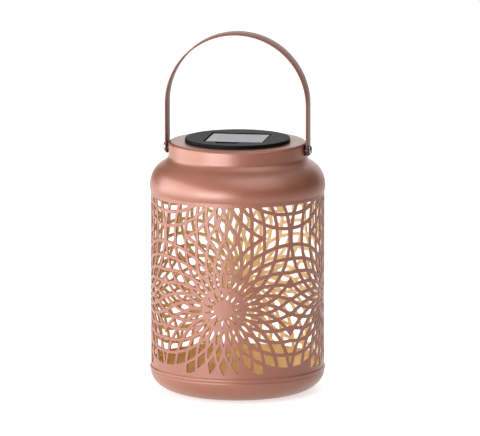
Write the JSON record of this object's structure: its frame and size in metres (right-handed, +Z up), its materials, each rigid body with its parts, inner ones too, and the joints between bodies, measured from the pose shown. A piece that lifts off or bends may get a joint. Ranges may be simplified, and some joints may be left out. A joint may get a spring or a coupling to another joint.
{
  "type": "solar garden lantern",
  "caption": "Round pierced metal garden lantern with rolled seams, a swinging strap handle, and a push-in black lid that carries the solar panel, battery, switch and lamp.",
  "frame": {"origin": "centre of the base on the surface it stands on", "axes": "+Z up along the lantern's axis; the handle's pivots lie along X; one flower of the pierced screen faces -Y"},
  "size_m": [0.14, 0.14, 0.2886],
  "materials": {
    "bronze_paint": "satin rose bronze outside, matt gold inside",
    "bare_steel": "plated",
    "black_plastic": "satin moulded",
    "seal_rubber": "matt",
    "panel_black": "satin laminate",
    "solar_cell": "clear resin over silicon",
    "battery_wrap": "shrink sleeve",
    "board_green": "solder mask",
    "led_epoxy": "water clear",
    "lead_red": "soft insulation",
    "lead_black": "soft insulation"
  },
  "bodies": {
    "lantern_body": {"base_cap": "bronze_paint", "lattice_screen": "bronze_paint", "shoulder": "bronze_paint", "handle_rivet_left": "bare_steel", "handle_rivet_right": "bare_steel", "pivot_spacer_left": "bare_steel", "pivot_spacer_right": "bare_steel", "inner_washer_left": "bare_steel", "inner_washer_right": "bare_steel"},
    "handle": {"handle_strap": "bronze_paint"},
    "lid": {"lid_cover": "black_plastic", "lid_seal": "seal_rubber", "panel_backing": "panel_black", "solar_cell": "solar_cell", "lower_housing": "black_plastic", "housing_screw_1": "bare_steel", "housing_screw_2": "bare_steel", "housing_screw_3": "bare_steel", "battery": "battery_wrap", "battery_tray": "black_plastic", "battery_plus_contact": "bare_steel", "battery_spring": "bare_steel", "circuit_board": "board_green", "led_lamp": "led_epoxy", "led_collar": "black_plastic", "switch_body": "bare_steel", "panel_lead_red": "lead_red", "panel_lead_black": "lead_black"},
    "battery_hatch": {"battery_door": "black_plastic"},
    "switch_slider": {"switch_knob": "black_plastic"}
  },
  "joints": [
    {"name": "handle_swing", "type": "hinge", "parent": "lantern_body", "child": "handle", "pos_m": [0, 0, 0.1955], "axis": [1, 0, 0], "range_deg": [-85, 85]},
    {"name": "lid_lift", "type": "slide", "parent": "lantern_body", "child": "lid", "axis": [0, 0, 1], "range_m": [0, 0.05]},
    {"name": "battery_door_release", "type": "slide", "parent": "lid", "child": "battery_hatch", "axis": [0, 0, -1], "range_m": [0, 0.012]},
    {"name": "switch_slide", "type": "slide", "parent": "lid", "child": "switch_slider", "axis": [1, 0, 0], "range_m": [0, 0.003]}
  ]
}
